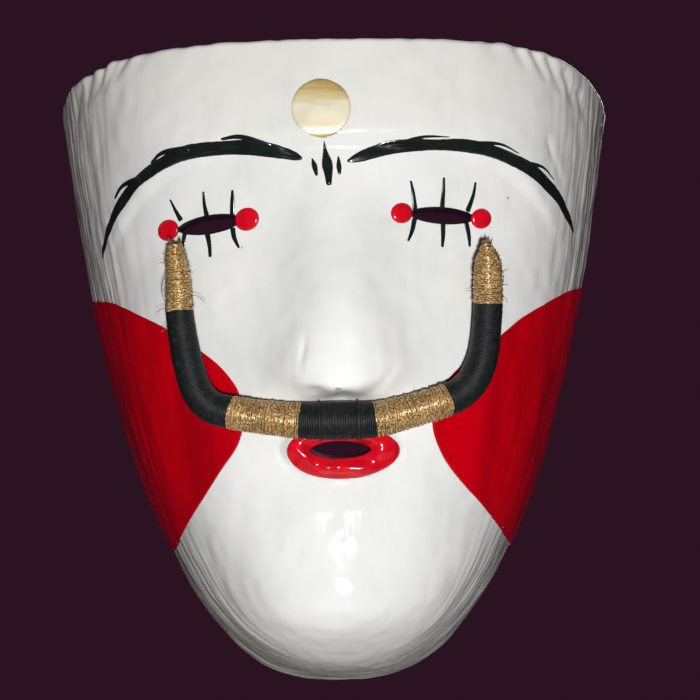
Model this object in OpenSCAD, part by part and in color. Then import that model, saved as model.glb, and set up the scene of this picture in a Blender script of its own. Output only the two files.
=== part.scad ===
// Carved wooden dance mask with a bound moustache tied on over the mouth.
// The back rim lies in the plane y = 0, the face looks along -Y and +Z is up.
// The origin is on the mid-plane, in the plane of the rim, at the height of the eyes.

/* [Carved shell] */
// Height of the flat top above the eye line
top_z = 52; // [46:0.5:60]
// Height of the whole mask, chin to top
mask_h = 205.5; // [190:0.5:220]
// Half the width of the back rim at the top
rim_half_w = 94; // [88:0.5:100]
// How much narrower each side gets on the way down to the chin
side_taper = 14; // [8:0.5:20]
// How far each side wall leans outwards from the face to the rim
side_flare = 17; // [12:0.5:20]
// Depth of the face in front of the rim, without the nose
face_depth = 60; // [54:0.5:66]
// Squareness of a level section through the mask
section_power = 2.5; // [2.2:0.1:3]
// Thickness of the side walls
side_wall = 8; // [6:0.5:10]
// Thickness of the face
face_wall = 9; // [8:0.5:11]
// Thickness of the roof at the top
roof_wall = 12; // [10:0.5:15]
// Thickness of the chin
chin_wall = 10; // [8:0.5:13]

/* [Worn top corners] */
// Drop of the back corner on the wearer's right, which is the viewer's left
left_corner_drop = 7; // [0:0.5:9]
// Drop of the other back corner
right_corner_drop = 13; // [0:0.5:15]

/* [Carved face] */
// Step of the forehead over the eyes
brow_step = 2.3; // [1:0.1:3]
// Height of the brow step at the middle
brow_z = 21; // [18:0.5:24]
// Depth of the shallow eye sockets
socket_depth = 2.5; // [0.5:0.1:3]
// How far the nose stands out at its tip
nose_out = 14.5; // [10:0.5:18]
// Height of the root of the nose
nose_root_z = 14; // [10:0.5:16]
// Height of the tip of the nose
nose_tip_z = -47; // [-50:0.5:-44]
// How far the lips stand out
lip_out = 2.6; // [1.5:0.1:3.5]
// How far the chin stands out
chin_out = 7; // [4:0.5:9]
// Depth of the hollow between the lips and the chin
chin_crease = 1.2; // [0:0.1:2]

/* [Openings] */
// Length and height of each eye slit
eye_slit = [19.5, 5.5];
// Centre of the eye slit on the viewer's left, across and up
left_eye = [-37.5, -1.2];
// Tilt of that slit in degrees
left_eye_tilt = 6; // [0:0.5:10]
// Centre of the eye slit on the viewer's right
right_eye = [31.5, 0];
// Tilt of that slit in degrees
right_eye_tilt = -3; // [-6:0.5:3]
// Length and height of the mouth slot
mouth_slot = [18, 5.5];
// Centre of the mouth slot
mouth = [0.3, -68.2];

/* [Moustache] */
// Thickness of the thread wound over the fibres
winding = 1; // [0.6:0.1:1.3]
// Diameter of the soft steel wire in the middle
wire_d = 1.6; // [1:0.1:2]
// Distance of each lashing from the middle of the moustache
lashing_x = 5.5; // [4:0.5:8]
// Diameter of the waxed lashing thread
lashing_d = 1; // [0.8:0.1:1.2]

/* [Hidden] */

enamel_white = [0.87, 0.88, 0.86];
thread_black = [0.08, 0.10, 0.10];
thread_gold = [0.65, 0.51, 0.29];
fibre_brown = [0.33, 0.24, 0.15];
steel_grey = [0.45, 0.45, 0.46];

// The sculpted solid runs this far behind the rim plane and is sawn off flat there
saw_off = 1;
chin_z = top_z - mask_h;
// Shape of the outline towards the chin, and of the profile under it
outline_rise = 2;
outline_round = 2.6;
profile_rise = 12;
profile_round = 1.3;
// Where the forehead starts to lean back, and by how much at the top
lean_z = 15;
lean = 3;

// Each feature's half width and half height, and its distance off the mid-plane or place
brow_droop = [30, 72];
socket_size = [26, 16];
socket_at = [36, -2];
nose_half_w = [11, 20];
nose_edge = 2.2;
nose_under = 8;
lip_size = [16.4, 8.3];
lip_ridge = [0.72, 0.26];
chin_size = [40, 15];
chin_boss_z = -117;
crease_size = [30, 9];
crease_z = -84;

// An opening is as tall as a sine to this power, and its cutter is this long
slot_taper = 1.2;
slot_plug = 50;

// Rows of the sculpted surface: closer together at the chin, the mouth and the brow
chin_rows = 10;
chin_band = 28;
plain_rows = [
    for (z = [-121 : 4 : -85]) z,
    for (z = [-81 : 2.5 : -46]) z,
    for (z = [-41 : 5.5 : 12]) z,
    for (z = [16 : 3 : 28]) z,
    for (z = [33 : 5 : 48]) z
];
rows = [
    for (i = [1 : chin_rows]) chin_z + chin_band * pow(i / chin_rows, 2),
    for (z = plain_rows) if (z < top_z - 2 && z > chin_z + chin_band + 2) z,
    top_z
];
row_n = len(rows);
face_cols = 54;
hollow_cols = 20;
roof_rows = 3;
hollow_roof_rows = 1;

// Points along the middle of the moustache, viewer's left tip to right tip,
// each with the outside radius of the winding there
moustache_route = [
    [-46.5, -64, -8, 2.6], [-46, -64, -13, 3.3], [-45.5, -63.5, -20, 3.8],
    [-45.5, -63, -27, 4.1], [-44.5, -62.5, -36, 4.3], [-43, -62, -44, 4.5],
    [-40.5, -62.5, -51, 4.7], [-36.5, -63.5, -55, 4.8], [-31, -65, -56.5, 4.8],
    [-21, -67, -58, 4.9], [-11, -68.5, -59, 5.2], [-0.5, -68.5, -59.3, 5.4],
    [10, -68.5, -59, 5.2], [20, -67, -57, 4.9], [31, -65, -54, 4.8],
    [36, -63.5, -51.5, 4.8], [39.5, -62.5, -47.5, 4.7], [42, -62, -41.5, 4.5],
    [43, -62.5, -34, 4.3], [43.5, -63, -26.5, 4.3], [43.5, -63.5, -20, 4.3],
    [43.5, -64, -14, 3.7], [43, -64, -8.5, 2.2]
];
// Where each winding starts and stops, as places in that list
tip_left_end = 3;
black_left_end = 8;
gold_left_end = 10;
black_centre_end = 12;
gold_right_end = 14;
black_right_end = 19;
route_end = len(moustache_route) - 1;
rings_per_step = 2;
route_sides = 12;
lashing_centre = [-68.5, -59.3];
lashing_ring_r = 5.95;
lashing_hole_d = 1.9;
knot_r = 1.8;
knot_y = -48.8;

// ---- shape of the carved surface ----

function mix(a, b, t) = a + (b - a) * t;

function ease(a, b, x) = let (t = min(1, max(0, (x - a) / (b - a)))) t * t * (3 - 2 * t);

// Share of the way down from the top, 0 to 1, for a solid of this top and height
function way_down(z, top, height) = min(1, max(0, (top - z) / height));

function half_width(z, top, height, half_w) =
    let (s = way_down(z, top, height))
    (half_w - side_taper * s) * pow(max(0, 1 - pow(s, outline_rise)), 1 / outline_round);

function depth(z, top, height, full) =
    full * pow(max(0, 1 - pow(way_down(z, top, height), profile_rise)), profile_round)
        - lean * ease(lean_z, top + 10, z);

// A smooth swelling, 1 at its middle
function swell(x, half) = exp(-pow(x / half, 2));

function brow_line(x) = brow_z - brow_droop[0] * pow(abs(x) / brow_droop[1], 4);

function brow(x, z) = brow_step * ease(-2, 4, z - brow_line(x));

function sockets(x, z) =
    -socket_depth * swell(abs(x) - socket_at[0], socket_size[0])
        * swell(z - socket_at[1], socket_size[1]);

function nose(x, z) =
    let (
        u = (nose_root_z - z) / (nose_root_z - nose_tip_z),
        rise = pow(ease(0, 1, u), 0.8) * (1 - ease(0, nose_under, nose_tip_z - z)),
        half = mix(nose_half_w[0], nose_half_w[1], max(0, u))
    )
    nose_out * rise * exp(-1.1 * pow(abs(x) / half, nose_edge));

function lips(x, z) =
    let (r = norm([(x - mouth[0]) / lip_size[0], (z - mouth[1]) / lip_size[1]]))
    lip_out * swell(r - lip_ridge[0], lip_ridge[1]);

function chin(x, z) =
    chin_out * swell(x, chin_size[0]) * swell(z - chin_boss_z, chin_size[1])
        - chin_crease * swell(x, crease_size[0]) * swell(z - crease_z, crease_size[1]);

function face_relief(x, z) = brow(x, z) + sockets(x, z) + nose(x, z) + lips(x, z) + chin(x, z);

// The top corners are worn down towards the back
function worn(p) =
    let (
        drop = p[0] > 0 ? right_corner_drop : left_corner_drop,
        side = pow(abs(p[0]) / rim_half_w, 4),
        back = pow(min(1, max(0, 1 + p[1] / 52)), 0.8),
        high = pow(min(1, max(0, p[2] / (top_z - 2))), 2)
    )
    [p[0], p[1], p[2] - drop * side * back * high];

// A point of a level section: turn 0 is the rim at +X, 180 the rim at -X
function section(z, turn, top, height, half_w, full, relief) =
    let (
        c = cos(turn),
        s = pow(max(0, 1 - pow(abs(c), section_power)), 1 / section_power),
        w = half_width(z, top, height, half_w),
        x = c * (w - side_flare * s * min(1, w / 40)),
        y = -depth(z, top, height, full) * s,
        out = relief * face_relief(x, z) * ease(0.45, 0.85, s)
    )
    worn([x, y - out, z]);

function face_point(z, turn) =
    section(z, turn, top_z, mask_h, rim_half_w, face_depth + saw_off, 1);

hollow_top = top_z - roof_wall;
hollow_h = mask_h - roof_wall - chin_wall;
hollow_depth = face_depth + saw_off - face_wall;

function hollow_row(z) = hollow_top - (top_z - z) * hollow_h / mask_h;

function hollow_point(z, turn) =
    section(hollow_row(z), turn, hollow_top, hollow_h, rim_half_w - side_wall, hollow_depth, 0);

// The roof runs back from the top row to a straight edge in the rim plane
function roof_back(half_w, turn, z) = worn([half_w * cos(turn), 0, z]);

// ---- the shell as one closed solid ----

module sculpted_solid() {
    face_base = 1;
    roof_base = face_base + row_n * (face_cols + 1);
    hollow_pole = roof_base + roof_rows * (face_cols - 1);
    hollow_base = hollow_pole + 1;
    hollow_roof_base = hollow_base + row_n * (hollow_cols + 1);

    points = [
        [0, 0, chin_z],
        for (z = rows) for (j = [0 : face_cols]) face_point(z, 180 * j / face_cols),
        for (k = [1 : roof_rows]) for (j = [1 : face_cols - 1])
            let (turn = 180 * j / face_cols)
            mix(face_point(top_z, turn), roof_back(rim_half_w, turn, top_z), k / roof_rows),
        [0, 0, chin_z + chin_wall],
        for (z = rows) for (j = [0 : hollow_cols]) hollow_point(z, 180 * j / hollow_cols),
        for (j = [1 : hollow_cols - 1])
            roof_back(rim_half_w - side_wall, 180 * j / hollow_cols, hollow_top)
    ];

    function face(i, j) = face_base + i * (face_cols + 1) + j;
    function hollow(i, j) = hollow_base + i * (hollow_cols + 1) + j;
    function roof(k, j) =
        k == 0 || j == 0 || j == face_cols
            ? face(row_n - 1, j)
            : roof_base + (k - 1) * (face_cols - 1) + j - 1;
    function hollow_roof(k, j) =
        k == 0 || j == 0 || j == hollow_cols
            ? hollow(row_n - 1, j)
            : hollow_roof_base + j - 1;

    faces = [
        // face and side walls, from the pole at the chin to the top row
        for (j = [0 : face_cols - 1]) [0, face(0, j + 1), face(0, j)],
        for (i = [0 : row_n - 2]) for (j = [0 : face_cols - 1])
            each [
                [face(i, j), face(i, j + 1), face(i + 1, j + 1)],
                [face(i, j), face(i + 1, j + 1), face(i + 1, j)]
            ],
        // roof, whose two end columns close to a point
        for (k = [0 : roof_rows - 1]) for (j = [0 : face_cols - 1])
            each [
                if (j < face_cols - 1) [roof(k, j), roof(k, j + 1), roof(k + 1, j + 1)],
                if (j > 0) [roof(k, j), roof(k + 1, j + 1), roof(k + 1, j)]
            ],
        // hollow for the wearer's face
        for (j = [0 : hollow_cols - 1]) [hollow_pole, hollow(0, j), hollow(0, j + 1)],
        for (i = [0 : row_n - 2]) for (j = [0 : hollow_cols - 1])
            each [
                [hollow(i, j), hollow(i + 1, j + 1), hollow(i, j + 1)],
                [hollow(i, j), hollow(i + 1, j), hollow(i + 1, j + 1)]
            ],
        for (j = [0 : hollow_cols - 1])
            each [
                if (j < hollow_cols - 1)
                    [hollow_roof(0, j), hollow_roof(1, j + 1), hollow_roof(0, j + 1)],
                if (j > 0) [hollow_roof(0, j), hollow_roof(1, j), hollow_roof(1, j + 1)]
            ],
        // back rim: chin, the two sides, then the top
        [0, face(0, 0), hollow(0, 0), hollow_pole],
        [hollow_pole, hollow(0, hollow_cols), face(0, face_cols), 0],
        for (i = [0 : row_n - 2])
            each [
                [face(i, 0), face(i + 1, 0), hollow(i + 1, 0), hollow(i, 0)],
                [
                    hollow(i, hollow_cols), hollow(i + 1, hollow_cols),
                    face(i + 1, face_cols), face(i, face_cols)
                ]
            ],
        [
            for (j = [0 : face_cols]) roof(roof_rows, j),
            for (j = [hollow_cols : -1 : 0]) hollow_roof(hollow_roof_rows, j)
        ]
    ];

    translate([0, saw_off, 0]) polyhedron(points = points, faces = faces, convexity = 8);
}

// A lens-shaped opening, cut straight through along Y
module slot_through(centre, size, tilt) {
    translate([centre[0], -face_depth - slot_plug / 2, centre[1]])
        rotate([-90, 0, 0])
            rotate([0, 0, -tilt])
                linear_extrude(height = slot_plug)
                    polygon([
                        for (a = [0 : 10 : 350])
                            [
                                size[0] / 2 * cos(a),
                                size[1] / 2 * sign(sin(a)) * pow(abs(sin(a)), slot_taper)
                            ]
                    ]);
}

module mask_shell() {
    color(enamel_white) difference() {
        sculpted_solid();
        translate([-150, 0, chin_z - 20]) cube([300, 20, mask_h + 40]);
        slot_through(left_eye, eye_slit, left_eye_tilt);
        slot_through(right_eye, eye_slit, right_eye_tilt);
        slot_through(mouth, mouth_slot, 0);
        for (x = [-lashing_x, lashing_x])
            translate([x, -face_depth - 12, lashing_centre[1]])
                rotate([-90, 0, 0]) cylinder(h = 30, d = lashing_hole_d, $fn = 24);
    }
}

// ---- moustache ----

// A smooth curve through four neighbouring route points
function between(a, b, c, d, t) =
    0.5 * (2 * b + (c - a) * t + (2 * a - 5 * b + 4 * c - d) * t * t
        + (3 * b - a - 3 * c + d) * t * t * t);

function route_at(place) =
    let (
        i = min(route_end - 1, floor(place)),
        p = moustache_route,
        before = i > 0 ? p[i - 1] : 2 * p[0] - p[1],
        after = i + 2 <= route_end ? p[i + 2] : 2 * p[route_end] - p[route_end - 1]
    )
    between(before, p[i], p[i + 1], after, place - i);

function unit(v) = v / norm(v);

function point_at(place) = let (q = route_at(place)) [q[0], q[1], q[2]];

function heading_at(place) =
    unit(point_at(min(route_end, place + 0.05)) - point_at(max(0, place - 0.05)));

// One ring of the given radius round the route
function ring_at(place, r, sides) =
    let (
        t = heading_at(place),
        n = unit(cross(t, [0, 1, 0])),
        b = cross(n, t)
    )
    [
        for (k = [0 : sides - 1])
            let (a = 360 * k / sides)
            point_at(place) + r * (cos(a) * n + sin(a) * b)
    ];

function places(from, to) =
    let (steps = round((to - from) * rings_per_step))
    [for (i = [0 : steps]) from + (to - from) * i / steps];

// A tube along the route. outer and inner give its radii at each place, and an empty
// inner list makes it solid
module along_route(at, outer, inner, sides) {
    steps = len(at) - 1;
    hollow = len(inner) > 0;
    outside = [for (i = [0 : steps]) each ring_at(at[i], outer[i], sides)];
    inside = [for (i = [0 : steps]) if (hollow) each ring_at(at[i], inner[i], sides)];
    last = steps * sides;
    bore = len(outside);
    function turn(i, k) = i * sides + k % sides;
    walls = [
        for (i = [0 : steps - 1]) for (k = [0 : sides - 1])
            each [
                [turn(i, k), turn(i, k + 1), turn(i + 1, k + 1)],
                [turn(i, k), turn(i + 1, k + 1), turn(i + 1, k)],
                if (hollow) [bore + turn(i, k), bore + turn(i + 1, k + 1), bore + turn(i, k + 1)],
                if (hollow) [bore + turn(i, k), bore + turn(i + 1, k), bore + turn(i + 1, k + 1)]
            ]
    ];
    ends = hollow
        ? [
            for (k = [0 : sides - 1])
                each [
                    [turn(0, k), bore + turn(0, k), bore + turn(0, k + 1), turn(0, k + 1)],
                    [
                        last + turn(0, k), last + turn(0, k + 1),
                        bore + last + turn(0, k + 1), bore + last + turn(0, k)
                    ]
                ]
        ]
        : [
            [for (k = [sides - 1 : -1 : 0]) k],
            [for (k = [0 : sides - 1]) last + k]
        ];
    polyhedron(points = concat(outside, inside), faces = concat(walls, ends), convexity = 6);
}

module winding_between(from, to, shade) {
    at = places(from, to);
    outer = [for (q = at) route_at(q)[3]];
    color(shade) along_route(at, outer, [for (r = outer) r - winding], route_sides);
}

module moustache_wire() {
    at = places(0, route_end);
    color(steel_grey) along_route(at, [for (q = at) wire_d / 2], [], route_sides);
}

module moustache_fibres() {
    at = places(0, route_end);
    outer = [for (q = at) route_at(q)[3] - winding];
    color(fibre_brown) along_route(at, outer, [for (q = at) wire_d / 2], route_sides);
}

module winding_gold_tip_left() { winding_between(0, tip_left_end, thread_gold); }
module winding_black_left() { winding_between(tip_left_end, black_left_end, thread_black); }
module winding_gold_left() { winding_between(black_left_end, gold_left_end, thread_gold); }
module winding_black_centre() { winding_between(gold_left_end, black_centre_end, thread_black); }
module winding_gold_right() { winding_between(black_centre_end, gold_right_end, thread_gold); }
module winding_black_right() { winding_between(gold_right_end, black_right_end, thread_black); }
module winding_gold_tip_right() { winding_between(black_right_end, route_end, thread_gold); }

// A loop of waxed thread round the moustache, through the lip and knotted inside
module lashing(x) {
    stem_from = lashing_centre[0] + lashing_ring_r;
    color(thread_black) {
        translate([x, lashing_centre[0], lashing_centre[1]])
            rotate([0, 90, 0])
                rotate_extrude($fn = 48)
                    translate([lashing_ring_r, 0]) circle(d = lashing_d, $fn = 16);
        translate([x, stem_from, lashing_centre[1]])
            rotate([-90, 0, 0]) cylinder(h = knot_y - stem_from, d = lashing_d * 1.4, $fn = 20);
        translate([x, knot_y, lashing_centre[1]]) sphere(r = knot_r, $fn = 24);
    }
}

module lashing_left() { lashing(-lashing_x); }
module lashing_right() { lashing(lashing_x); }

mask_shell();
moustache_wire();
moustache_fibres();
winding_black_centre();
winding_gold_left();
winding_gold_right();
winding_black_left();
winding_black_right();
winding_gold_tip_left();
winding_gold_tip_right();
lashing_left();
lashing_right();
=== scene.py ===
import math
import random

import bmesh
import bpy
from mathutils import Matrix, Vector, noise


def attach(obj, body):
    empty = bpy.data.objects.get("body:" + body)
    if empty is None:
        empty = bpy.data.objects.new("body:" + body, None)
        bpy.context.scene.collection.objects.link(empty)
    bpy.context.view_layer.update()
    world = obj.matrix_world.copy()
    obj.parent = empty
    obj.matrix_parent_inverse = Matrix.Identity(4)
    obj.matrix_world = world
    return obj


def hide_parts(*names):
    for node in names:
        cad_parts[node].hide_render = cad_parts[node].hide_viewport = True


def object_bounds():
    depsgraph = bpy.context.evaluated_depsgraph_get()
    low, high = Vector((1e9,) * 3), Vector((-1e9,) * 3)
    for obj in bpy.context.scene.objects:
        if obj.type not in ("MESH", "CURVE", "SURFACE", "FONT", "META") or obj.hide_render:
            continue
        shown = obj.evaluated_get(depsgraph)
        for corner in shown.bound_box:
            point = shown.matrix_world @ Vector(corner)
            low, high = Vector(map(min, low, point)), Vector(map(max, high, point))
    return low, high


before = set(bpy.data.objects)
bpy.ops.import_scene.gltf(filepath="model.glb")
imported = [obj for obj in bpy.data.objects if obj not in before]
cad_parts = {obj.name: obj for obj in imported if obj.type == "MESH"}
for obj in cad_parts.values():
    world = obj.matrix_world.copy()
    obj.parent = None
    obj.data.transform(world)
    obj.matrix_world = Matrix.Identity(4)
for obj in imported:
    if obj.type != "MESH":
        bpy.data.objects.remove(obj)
cad_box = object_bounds()


# ---- Carved shell ----
# One block of soft light wood, carved to a face outside and gouged hollow behind, then
# flooded with a brushed coat of white gloss enamel that runs thin over the old tool cuts.
# It replaces the plain CAD shell and keeps its outline, its walls and its openings.

# All sizes are in mm: x to the viewer's right, y back from the face, z up from the eyes
TOP_Z = 52
MASK_H = 205.5
CHIN_Z = TOP_Z - MASK_H
SAW_OFF = 1
RIM_HALF_W = 94
SIDE_WALL, FACE_WALL, ROOF_WALL, CHIN_WALL = 8, 9, 12, 10
FACE_DEPTH = 60
# The outline narrows by so much towards the chin, and its side walls splay by so much
NARROWING, FLARE = 14, 17
# How far the top corners have worn down, on the viewer's left and right
LEFT_WEAR, RIGHT_WEAR = 7, 13
NOSE_TOP_Z, NOSE_LENGTH, NOSE_H = 14, 61, 14.5
LEFT_EYE, LEFT_TILT = (-37.5, -1.2), 6
RIGHT_EYE, RIGHT_TILT = (31.5, 0), -3
# The enamel has narrowed the slits, more on the right than on the left
LEFT_SLIT, RIGHT_SLIT = (19.5, 4.9), (19.5, 4.3)
SLOT_TAPER = 1.2
MOUTH, MOUTH_SLOT = (0.3, -68.2), (18, 5.5)


def ease(low, high, x):
    t = min(1, max(0, (x - low) / (high - low)))
    return t * t * (3 - 2 * t)


def bump(x, centre, spread):
    return math.exp(-(((x - centre) / spread) ** 2))


def nose(x, z):
    """A wedge that widens and rises to the tip, then rounds under in a curve."""
    u = (NOSE_TOP_Z - z) / NOSE_LENGTH
    under = ease(0, 5.5 + 0.05 * x * x, 0.02 * x * x - 49 - z)
    rise = ease(0, 1, u) ** 0.8 * (1 - under)
    return NOSE_H * rise * math.exp(-1.1 * (abs(x) / (11 + 9 * max(0, u))) ** 2.2)


def nostril_wings(x, z):
    """The wings of the nose, the knife cut round each of them and the dents under the tip."""
    wing = 0.7 * bump(abs(x), 14, 5) * bump(z, -43.5, 5)
    cut_x = 10 - 0.17 * (z + 40)
    cuts = 0.6 * bump(x, -cut_x, 0.8) * bump(z, -39.5, 4)
    cuts += 0.25 * bump(x, cut_x, 2) * bump(z, -43, 5)
    dents = 1.9 * bump(x, -6.5, 2.8) * bump(z, -50.2, 1.3)
    dents += 1.4 * bump(x, 1.2, 2) * bump(z, -52, 1.1)
    lobes = 1.2 * bump(x, -2.6, 2.2) * bump(z, -51.6, 1.4)
    lobes += 1.1 * bump(x, 5.2, 2.4) * bump(z, -51, 1.3)
    crease = 0.45 * bump(math.hypot(x, z + 36), 17.8, 1.2) * ease(-41, -46, z) * ease(-6, 9, x)
    return wing - cuts - dents + lobes - crease


def lips(x, z):
    """A full roll round the mouth, uneven as the knife left it, in a shallow groove."""
    across, up = (x - MOUTH[0]) / 16.4, (z - MOUTH[1]) / 8.3
    r, turn = math.hypot(across, up), math.atan2(up, across)
    uneven = 1 + 0.16 * math.sin(2 * turn + 0.9) + 0.12 * math.sin(3 * turn - 0.6)
    crest = 0.72 + 0.06 * math.sin(2 * turn + 2) + 0.05 * math.sin(5 * turn)
    dimples = 0.45 * noise.noise(Vector((x, 21, z)) / 4.6)
    return 2.6 * (uneven + dimples) * bump(r, crest, 0.26) - 0.5 * bump(r, 1.09, 0.07)


def face_relief(x, z):
    """All that stands off the plain section: brow ledge, eye hollows, nose, lips and chin."""
    brow = 2.3 * ease(-2, 4, z - 21 + 30 * (abs(x) / 72) ** 4)
    sockets = -2.5 * bump(abs(x), 36, 26) * bump(z, -2, 16)
    chin = 7 * bump(x, 0, 40) * bump(z, -117, 15) - 1.2 * bump(x, 0, 30) * bump(z, -84, 9)
    chin_point = 0.9 * bump(x, 0, 12) * bump(z, -114, 22)
    return brow + sockets + nose(x, z) + nostril_wings(x, z) + lips(x, z) + chin + chin_point


def half_width(s, half_w):
    """Half the width a share s of the way down from the top."""
    return (half_w - NARROWING * s) * max(0, 1 - s * s) ** (1 / 2.6)


def forward(turn):
    """How far forward a level section stands at this turn: 0 at the rim, 1 in front."""
    return max(0, 1 - abs(math.cos(turn)) ** 2.5) ** 0.4


def sideways(turn, w):
    """How far off the mid-plane it stands there, with its splayed side walls."""
    return math.cos(turn) * (w - FLARE * forward(turn) * min(1, w / 40))


def section(z, turn, top, height, half_w, full, relief):
    """A point of a level section of the mask; turn 0 is the rim at +X and pi at -X."""
    s = min(1, max(0, (top - z) / height))
    deep = full * max(0, 1 - s**12) ** 1.3 - 3 * ease(15, top + 10, z)
    out = forward(turn)
    x = sideways(turn, half_width(s, half_w))
    y = -deep * out
    if relief:
        y -= face_relief(x, z) * ease(0.45, 0.85, out)
    return worn(x, y, z)


def worn(x, y, z):
    """The top corners are worn down towards the back."""
    back = min(1, max(0, 1 + y / 52)) ** 0.8
    drop = (RIGHT_WEAR if x > 0 else LEFT_WEAR) * (abs(x) / RIM_HALF_W) ** 4 * back
    return Vector((x, y + SAW_OFF, z - drop * min(1, max(0, z / 50)) ** 2))


# Slips of the knife along the worn top corners: start and end in x and z, width and depth
CHIPS = [
    ((-62, 53), (-67.5, 46), 1.5, 1.2), ((-66, 52), (-72, 43), 1.1, 0.6),
    ((-56, 53), (-59, 49), 2.2, 0.7), ((-71.5, 52), (-74.5, 44), 1.3, 1.4),
    ((-77.5, 50), (-79, 42), 1.4, 1.2), ((-82, 46), (-84.5, 38), 1.5, 0.9),
    ((-45, 53), (-48, 50), 2.5, 0.5),
    ((46, 53), (49, 49), 2.5, 0.6), ((55, 52), (58, 46), 1.6, 1.0),
    ((61, 51), (65, 44), 1.4, 1.2), ((67, 49), (71, 41), 1.5, 1.1),
    ((73, 46), (76, 38), 1.6, 1.3), ((79, 41), (81, 34), 1.6, 1.0),
    ((66, 24), (71, 12), 1.0, 0.5), ((22, 53), (25, 50), 2.0, 0.5),
]


def chips(p):
    """How deep the slips of the knife have cut at a point of the outside."""
    cut = 0
    if p.z > 8:
        for start, end, width, depth in CHIPS:
            a, b = Vector(start), Vector(end)
            here, run = Vector((p.x, p.z)) - a, b - a
            share = min(1, max(0, here.dot(run) / run.length_squared))
            cut += depth * (1 - 0.6 * share) * bump((here - run * share).length, 0, width)
    return cut


def carving(p):
    """What the tools left, in mm along the surface normal: grooves round the side walls
    that run level with the rim, shallow flats on the face, and chipped top corners."""
    side = ease(-50, -20, p.y)
    under = 1 + 1.1 * ease(-85, -125, p.z)
    around = Vector((0, p.x, p.z + 50)).normalized()
    grooves = noise.noise(2 * around + Vector((p.y / 1.9, 0, 0))) + 0.9 * noise.noise(
        1.5 * around + Vector((p.y / 4.6, 7, 0))
    )
    flats = 0.3 * noise.noise(p / 14) + 0.18 * noise.noise(p / 5.5)
    return 0.34 * side * under * grooves + flats - chips(p)


def plain_outside(z, turn):
    return section(z, turn, TOP_Z, MASK_H, RIM_HALF_W, FACE_DEPTH + SAW_OFF, True)


def on_shell(z, turn, lift=0):
    """A point of the finished outside of the mask, raised off it by lift."""
    step = 0.002 if turn < math.pi / 2 else -0.002
    rise = 0.2 if z < TOP_Z - 1 else -0.2
    p = plain_outside(z, turn)
    n = (plain_outside(z, turn + step) - p).cross(plain_outside(z + rise, turn) - p)
    if n.length < 1e-9:
        return p
    n.normalize()
    if n.dot(Vector((p.x, p.y - 20, 0))) < 0:
        n.negate()
    return p + n * (carving(p) + lift)


def patch(columns, rows, place):
    """A sheet of faces whose points place(u, v) gives in mm, with u and v from 0 to 1."""
    bm = bmesh.new()
    bmesh.ops.create_grid(bm, x_segments=columns, y_segments=rows, size=0.5)
    for v in bm.verts:
        v.co = 0.001 * Vector(place(v.co.x + 0.5, v.co.y + 0.5))
    bmesh.ops.remove_doubles(bm, verts=bm.verts, dist=2e-6)
    return bm


def join(*parts):
    """The parts in one bmesh; the given ones are freed."""
    whole = parts[0]
    for bm in parts[1:]:
        spare = bpy.data.meshes.new("spare")
        bm.to_mesh(spare)
        whole.from_mesh(spare)
        bm.free()
        bpy.data.meshes.remove(spare)
    return whole


def colour(hex_code, alpha=1):
    """An sRGB hex colour as the linear colour that nodes use."""
    parts = [int(hex_code[i : i + 2], 16) / 255 for i in (1, 3, 5)]
    return [c / 12.92 if c < 0.04045 else ((c + 0.055) / 1.055) ** 2.4 for c in parts] + [alpha]


def add_node(tree, kind, inputs, **settings):
    """Adds a node; inputs maps its sockets to values or to the sockets they come from."""
    node = tree.nodes.new("ShaderNode" + kind)
    for name, value in settings.items():
        setattr(node, name, value)
    for name, value in inputs.items():
        if isinstance(value, bpy.types.NodeSocket):
            tree.links.new(value, node.inputs[name])
        else:
            node.inputs[name].default_value = value
    return node


def start_material(name):
    """An empty material, its node tree and its object coordinates, which are in metres."""
    material = bpy.data.materials.new(name)
    material.use_nodes = True
    tree = material.node_tree
    tree.nodes.clear()
    return material, tree, add_node(tree, "TexCoord", {}).outputs["Object"]


def per_mm(size):
    """The texture scale that makes a pattern's features this many mm across."""
    return 1000 / size


def finish_material(tree, surface):
    out = add_node(tree, "OutputMaterial", {})
    tree.links.new(surface.outputs[0], out.inputs["Surface"])


def ramp(tree, factor, stops):
    """A colour ramp with a stop for each (place, hex colour)."""
    node = add_node(tree, "ValToRGB", {"Fac": factor})
    while len(node.color_ramp.elements) < len(stops):
        node.color_ramp.elements.new(0.5)
    for element, (place, hex_code) in zip(node.color_ramp.elements, stops):
        element.position = place
        element.color = colour(hex_code)
    return node.outputs["Color"]


def stretched(tree, coords, x, y, z):
    return add_node(tree, "Mapping", {"Vector": coords, "Scale": (x, y, z)}).outputs[0]


def noise_of(tree, coords, size, detail=2.0, rough=0.5):
    return add_node(
        tree,
        "TexNoise",
        {"Vector": coords, "Scale": per_mm(size), "Detail": detail, "Roughness": rough},
    ).outputs["Fac"]


def spread(tree, value, low, high, to_low, to_high):
    """The value moved from one range to another and held inside it."""
    return add_node(
        tree,
        "MapRange",
        {"Value": value, "From Min": low, "From Max": high, "To Min": to_low, "To Max": to_high},
    ).outputs["Result"]


def brushed_gloss(tree, coords):
    """The gloss of household enamel put on by brush: a skin as smooth as glass that
    dips and swells by a few hundredths of a mm over the wood, with fine bristle lines."""
    swell = add_node(
        tree,
        "Bump",
        {"Height": noise_of(tree, coords, 9, 1.0), "Strength": 1.0, "Distance": 0.00035},
    )
    bristles = noise_of(tree, stretched(tree, coords, 1, 0.6, 0.12), 1.4, 3.0)
    lines = add_node(
        tree,
        "Bump",
        {
            "Height": bristles,
            "Strength": 1.0,
            "Distance": 0.00003,
            "Normal": swell.outputs[0],
        },
    )
    return lines.outputs[0]


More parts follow.
